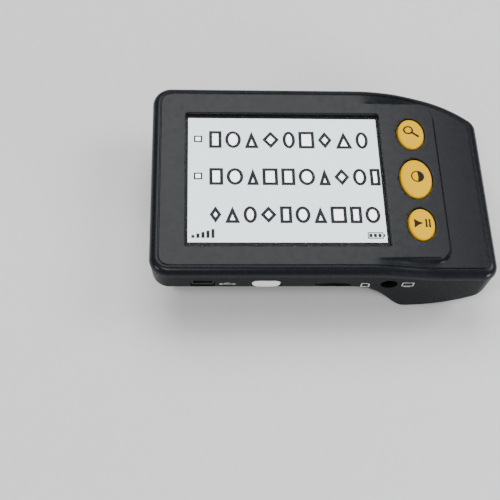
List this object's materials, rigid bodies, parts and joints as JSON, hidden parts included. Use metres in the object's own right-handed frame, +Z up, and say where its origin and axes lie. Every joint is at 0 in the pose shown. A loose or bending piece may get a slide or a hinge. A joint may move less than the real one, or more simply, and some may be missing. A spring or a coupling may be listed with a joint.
{
  "type": "video magnifier",
  "caption": "Handheld digital video magnifier: a thin body with a sunken colour screen, domed yellow keys, a deep belly grip with a sliding battery door and a camera pod below.",
  "frame": {"origin": "middle of the plan's bounding box, on the surface that the magnifier stands on", "axes": "+X to the right of the screen, towards the keys and the grip; +Y to the back, the screen's top; +Z up out of the screen"},
  "size_m": [0.122, 0.079, 0.0305],
  "materials": {
    "face_plastic": "fine satin moulded ABS",
    "shell_plastic": "satin moulded ABS",
    "clear_window": "clear polished acrylic",
    "foam": "closed-cell foam",
    "display_glass": "lit display picture",
    "light_guide": "milky light guide",
    "sheet_steel": "thin plated sheet",
    "ribbon": "amber polyimide",
    "board": "green solder mask",
    "chip": "moulded epoxy",
    "socket_plastic": "black nylon",
    "key_yellow": "soft gloss, printed symbols",
    "button_white": "gloss white",
    "lens_black": "matt black",
    "lens_glass": "coated glass",
    "lamp": "phosphor LED",
    "battery_wrap": "shrink wrap",
    "gold": "plated spring contacts",
    "screw_steel": "blackened zinc",
    "rubber": "soft rubber"
  },
  "bodies": {
    "housing": {"front_cover": "face_plastic", "rear_cover": "shell_plastic", "screen_window": "clear_window", "screen_gasket": "foam", "lcd_panel": "display_glass", "lcd_backlight": "light_guide", "lcd_frame": "sheet_steel", "display_ribbon": "ribbon", "main_board": "board", "chips": "chip", "shield_can": "sheet_steel", "usb_port": "sheet_steel", "usb_tongue": "socket_plastic", "card_slot": "sheet_steel", "av_jack": "socket_plastic", "power_switch": "chip", "key_board": "board", "key_switches": "chip", "key_ribbon": "ribbon", "camera_board": "board", "camera_holder": "lens_black", "lens_barrel": "lens_black", "lens_glass": "lens_glass", "camera_window": "clear_window", "led_lamps": "lamp", "camera_ribbon": "ribbon", "battery_pack": "battery_wrap", "battery_contacts": "gold", "case_screws": "screw_steel", "board_screws": "screw_steel", "pod_ring": "rubber", "belly_pads": "rubber"},
    "zoom_button": {"zoom_button": "key_yellow"},
    "contrast_button": {"contrast_button": "key_yellow"},
    "freeze_button": {"freeze_button": "key_yellow"},
    "power_button": {"power_button": "button_white"},
    "battery_door": {"battery_door": "shell_plastic"}
  },
  "joints": [
    {"name": "zoom_press", "type": "slide", "parent": "housing", "child": "zoom_button", "axis": [0, 0, -1], "range_m": [0, 0.0006], "stiffness_N_per_m": 600},
    {"name": "contrast_press", "type": "slide", "parent": "housing", "child": "contrast_button", "axis": [0, 0, -1], "range_m": [0, 0.0006], "stiffness_N_per_m": 600},
    {"name": "freeze_press", "type": "slide", "parent": "housing", "child": "freeze_button", "axis": [0, 0, -1], "range_m": [0, 0.0006], "stiffness_N_per_m": 600},
    {"name": "power_press", "type": "slide", "parent": "housing", "child": "power_button", "axis": [0, 1, 0], "range_m": [0, 0.0005], "stiffness_N_per_m": 600},
    {"name": "battery_door_slide", "type": "hinge", "parent": "housing", "child": "battery_door", "pos_m": [0.0313, 0, 0.0424], "axis": [0, -1, 0], "range_deg": [0, 36]}
  ]
}
